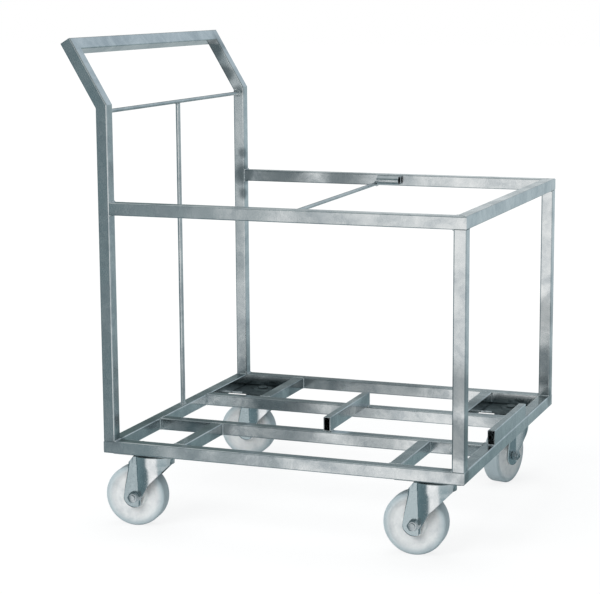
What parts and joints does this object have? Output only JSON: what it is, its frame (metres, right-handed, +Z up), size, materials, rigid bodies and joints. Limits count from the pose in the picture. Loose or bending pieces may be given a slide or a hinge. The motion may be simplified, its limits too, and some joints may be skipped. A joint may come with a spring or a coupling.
{
  "type": "push trolley",
  "caption": "Push trolley of welded square tube: a low base on swivel castors, an open frame round the load and a slanted handle at one end.",
  "frame": {"origin": "on the floor, under the middle of the whole trolley's box", "axes": "+X along the base, away from the handle; +Y from the front side to the rear side; +Z up"},
  "size_m": [0.8224, 0.715, 0.9837],
  "materials": {
    "galvanised_tube": "hot-dip galvanised, dull, faintly mottled",
    "galvanised_rod": "hot-dip galvanised, dull",
    "castor_steel": "zinc-plated pressed steel, satin",
    "fastener_steel": "zinc-plated, satin",
    "white_nylon": "moulded polyamide, satin"
  },
  "bodies": {
    "trolley": {"base_front_rail": "galvanised_tube", "base_rear_rail": "galvanised_tube", "base_left_rail": "galvanised_tube", "base_right_rail": "galvanised_tube", "inner_front_rail": "galvanised_tube", "inner_rear_rail": "galvanised_tube", "front_left_stub": "galvanised_tube", "rear_left_stub": "galvanised_tube", "front_right_stub": "galvanised_tube", "rear_right_stub": "galvanised_tube", "front_handle_post": "galvanised_tube", "rear_handle_post": "galvanised_tube", "front_handle_arm": "galvanised_tube", "rear_handle_arm": "galvanised_tube", "handle_bar": "galvanised_tube", "front_end_post": "galvanised_tube", "rear_end_post": "galvanised_tube", "front_top_rail": "galvanised_tube", "rear_top_rail": "galvanised_tube", "end_top_rail": "galvanised_tube", "middle_riser_tube": "galvanised_tube", "end_riser_tube": "galvanised_tube", "rail_sleeve": "galvanised_tube", "handle_cross_rod": "galvanised_rod", "upright_rod": "galvanised_rod", "top_cross_rod": "galvanised_rod", "front_left_castor_plate": "castor_steel", "front_left_castor_race": "castor_steel", "front_left_king_pin": "fastener_steel", "front_right_castor_plate": "castor_steel", "front_right_castor_race": "castor_steel", "front_right_king_pin": "fastener_steel", "rear_left_castor_plate": "castor_steel", "rear_left_castor_race": "castor_steel", "rear_left_king_pin": "fastener_steel", "rear_right_castor_plate": "castor_steel", "rear_right_castor_race": "castor_steel", "rear_right_king_pin": "fastener_steel"},
    "front_left_swivel": {"front_left_castor_fork": "castor_steel", "front_left_axle_bolt": "fastener_steel", "front_left_axle_nut": "fastener_steel", "front_left_axle_bush": "fastener_steel"},
    "front_left_wheel": {"front_left_castor_wheel": "white_nylon"},
    "front_right_swivel": {"front_right_castor_fork": "castor_steel", "front_right_axle_bolt": "fastener_steel", "front_right_axle_nut": "fastener_steel", "front_right_axle_bush": "fastener_steel"},
    "front_right_wheel": {"front_right_castor_wheel": "white_nylon"},
    "rear_left_swivel": {"rear_left_castor_fork": "castor_steel", "rear_left_axle_bolt": "fastener_steel", "rear_left_axle_nut": "fastener_steel", "rear_left_axle_bush": "fastener_steel"},
    "rear_left_wheel": {"rear_left_castor_wheel": "white_nylon"},
    "rear_right_swivel": {"rear_right_castor_fork": "castor_steel", "rear_right_axle_bolt": "fastener_steel", "rear_right_axle_nut": "fastener_steel", "rear_right_axle_bush": "fastener_steel"},
    "rear_right_wheel": {"rear_right_castor_wheel": "white_nylon"}
  },
  "joints": [
    {"name": "front_left_castor_swivel", "type": "hinge", "parent": "trolley", "child": "front_left_swivel", "pos_m": [-0.25831, -0.2965, 0.158], "axis": [0, 0, 1], "continuous": true},
    {"name": "front_left_wheel_spin", "type": "hinge", "parent": "front_left_swivel", "child": "front_left_wheel", "pos_m": [-0.29262, -0.30011, 0.0625], "axis": [-0.1045, 0.9945, 0], "continuous": true},
    {"name": "front_right_castor_swivel", "type": "hinge", "parent": "trolley", "child": "front_right_swivel", "pos_m": [0.33469, -0.2965, 0.158], "axis": [0, 0, 1], "continuous": true},
    {"name": "front_right_wheel_spin", "type": "hinge", "parent": "front_right_swivel", "child": "front_right_wheel", "pos_m": [0.30024, -0.29831, 0.0625], "axis": [-0.0523, 0.9986, 0], "continuous": true},
    {"name": "rear_left_castor_swivel", "type": "hinge", "parent": "trolley", "child": "rear_left_swivel", "pos_m": [-0.25831, 0.2965, 0.158], "axis": [0, 0, 1], "continuous": true},
    {"name": "rear_left_wheel_spin", "type": "hinge", "parent": "rear_left_swivel", "child": "rear_left_wheel", "pos_m": [-0.29273, 0.29409, 0.0625], "axis": [-0.0698, 0.9976, 0], "continuous": true},
    {"name": "rear_right_castor_swivel", "type": "hinge", "parent": "trolley", "child": "rear_right_swivel", "pos_m": [0.33469, 0.2965, 0.158], "axis": [0, 0, 1], "continuous": true},
    {"name": "rear_right_wheel_spin", "type": "hinge", "parent": "rear_right_swivel", "child": "rear_right_wheel", "pos_m": [0.32634, 0.26303, 0.0625], "axis": [-0.9703, 0.2419, 0], "continuous": true}
  ]
}
